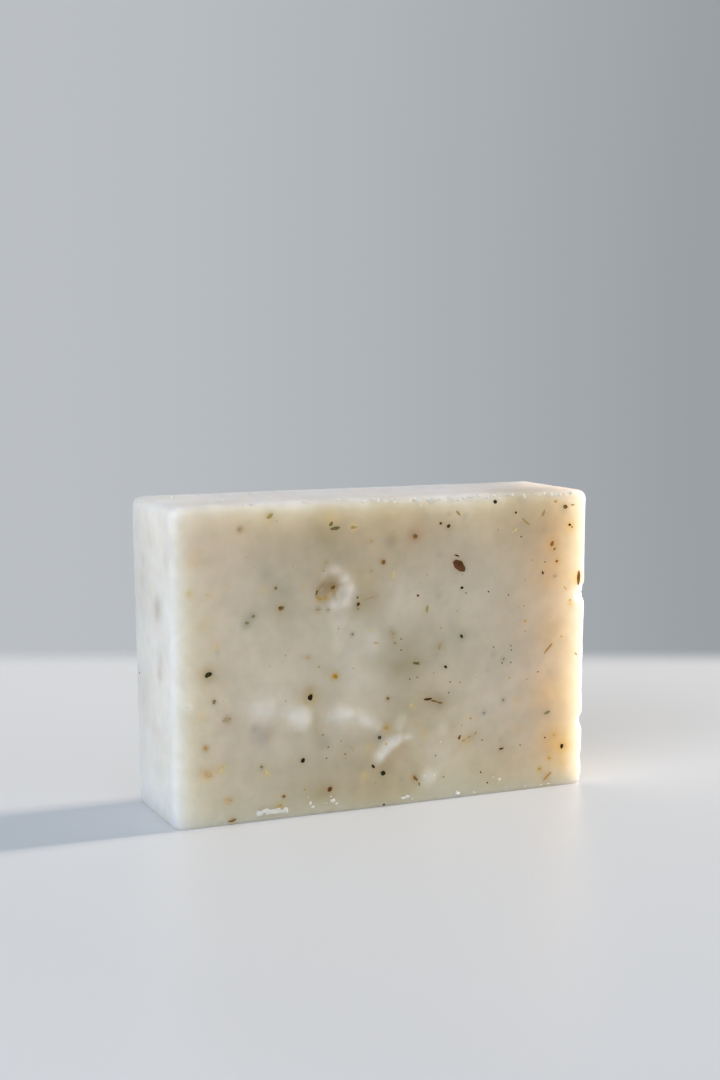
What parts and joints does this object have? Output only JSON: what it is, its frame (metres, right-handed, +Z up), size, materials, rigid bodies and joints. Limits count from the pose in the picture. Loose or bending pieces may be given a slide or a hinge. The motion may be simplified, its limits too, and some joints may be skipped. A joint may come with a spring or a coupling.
{
  "type": "bar of soap",
  "caption": "Hand-made bar of pale herb soap, a leaning block with worn and nicked edges, whose faces show bits of bark, seed, leaf and stem cut flush",
  "frame": {"origin": "middle of the base, on the surface that the bar stands on", "axes": "+X along the length of the bar, +Y through its thickness away from the broad face that shows, +Z up"},
  "size_m": [0.0848, 0.0245, 0.058],
  "materials": {
    "soap": "satin",
    "bark": "matte",
    "seed": "matte",
    "leaf": "matte",
    "stem": "matte"
  },
  "bodies": {
    "root": {"soap_bar": "soap", "bark_chips": "bark", "seeds": "seed", "leaf_flakes": "leaf", "stem_pieces": "stem"}
  },
  "joints": []
}
